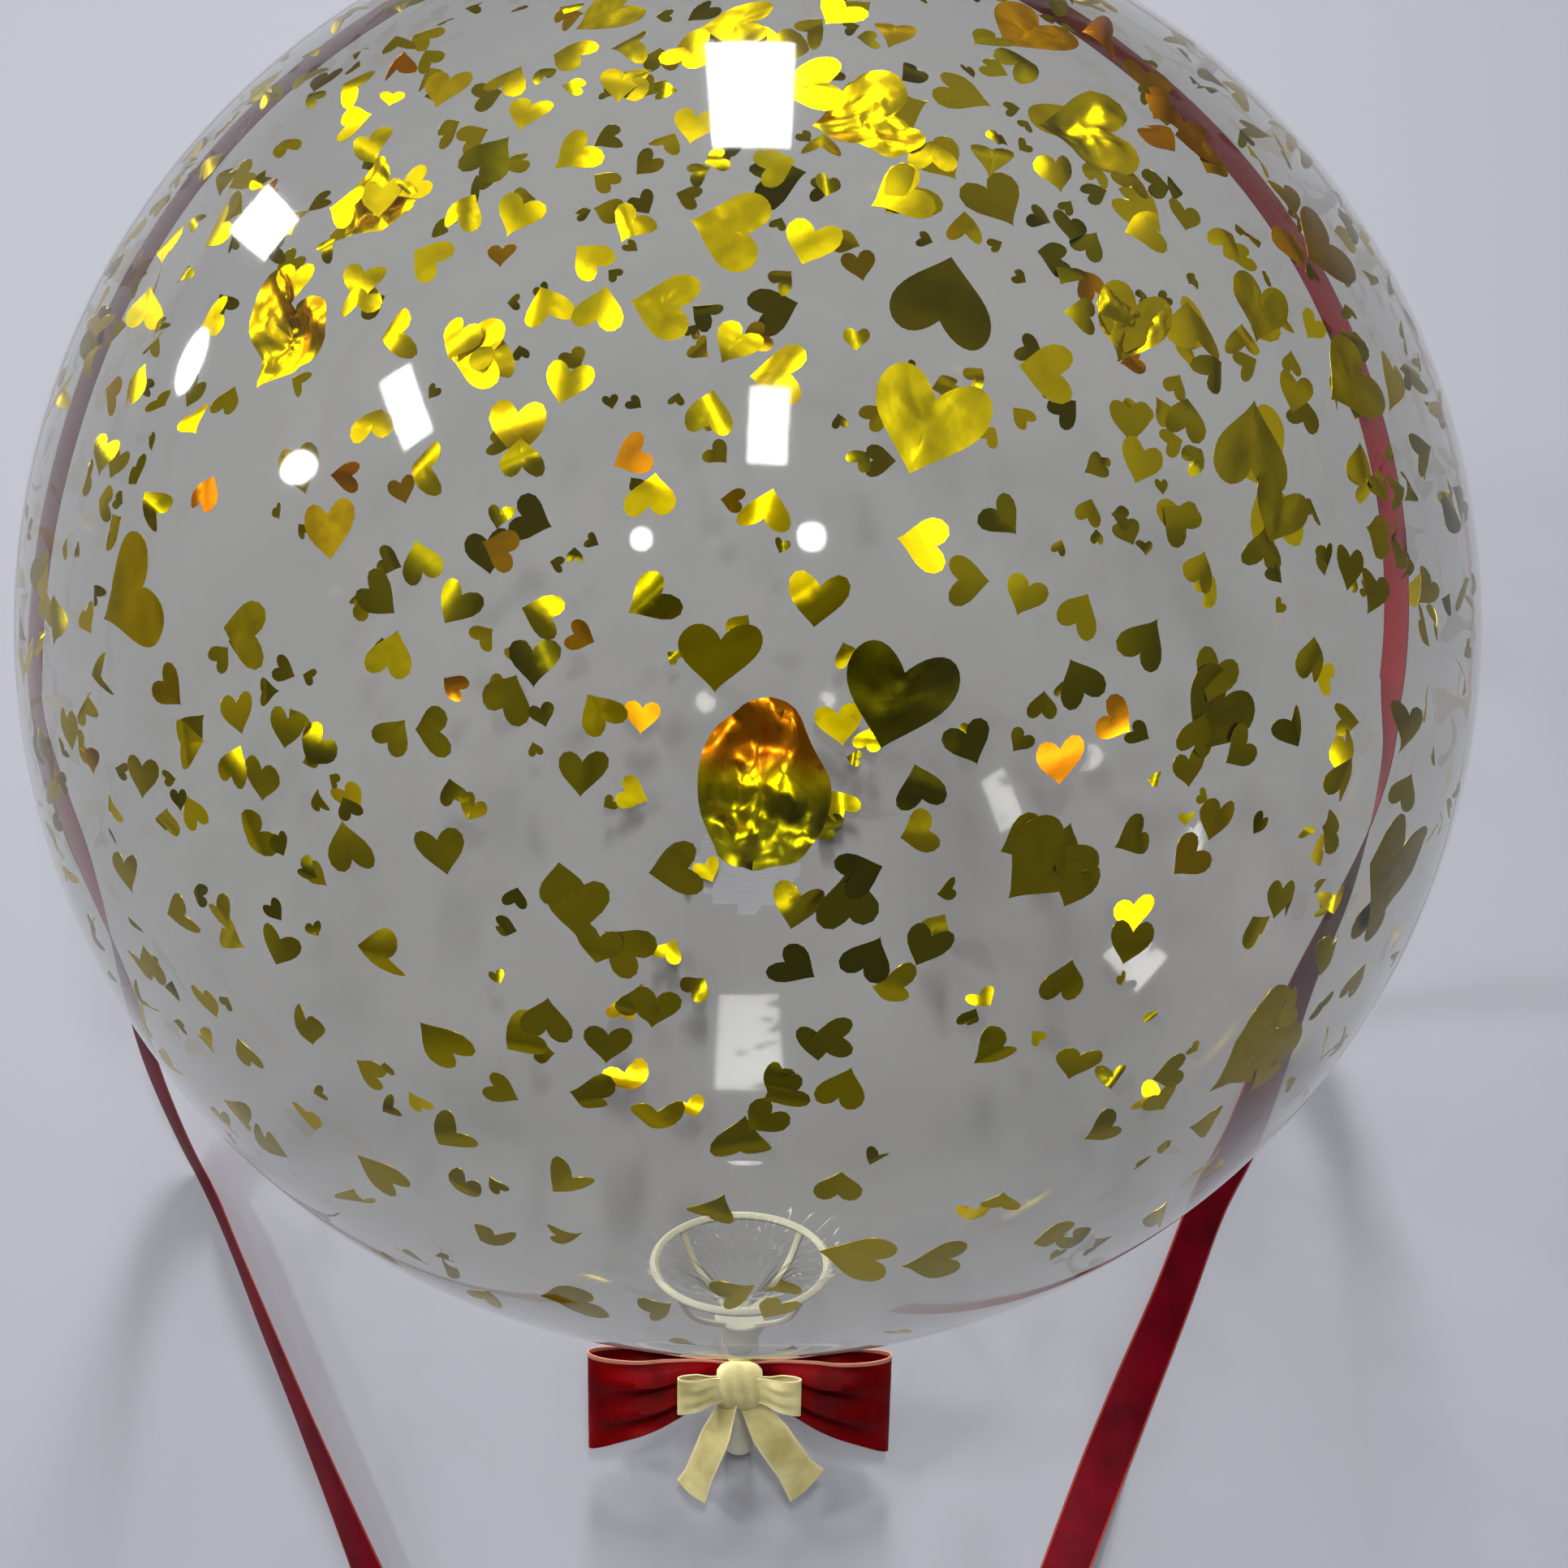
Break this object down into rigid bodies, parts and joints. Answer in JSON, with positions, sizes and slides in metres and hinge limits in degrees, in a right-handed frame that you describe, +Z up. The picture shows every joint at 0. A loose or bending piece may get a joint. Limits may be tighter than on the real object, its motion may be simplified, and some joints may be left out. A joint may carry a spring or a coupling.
{
  "type": "bubble balloon",
  "caption": "Clear bubble balloon with gold heart confetti, on its holder cup, with a red and a gold bow and a draped red ribbon, lying loose.",
  "frame": {"origin": "middle of the small flat spot under the balloon, on the floor that it lies on", "axes": "+Z up from the floor; -Y towards the neck, the cup and the bows; +X to the right as the picture shows it"},
  "size_m": [0.4218, 0.5229, 0.4189],
  "materials": {
    "clear_film": "gloss",
    "white_plastic": "gloss",
    "red_satin": "satin",
    "gold_satin": "satin",
    "gold_foil": "gloss"
  },
  "bodies": {
    "root": {"bubble_balloon": "clear_film", "holder_cup": "white_plastic", "red_bow": "red_satin", "gold_bow": "gold_satin", "red_ribbon": "red_satin"}
  },
  "joints": []
}
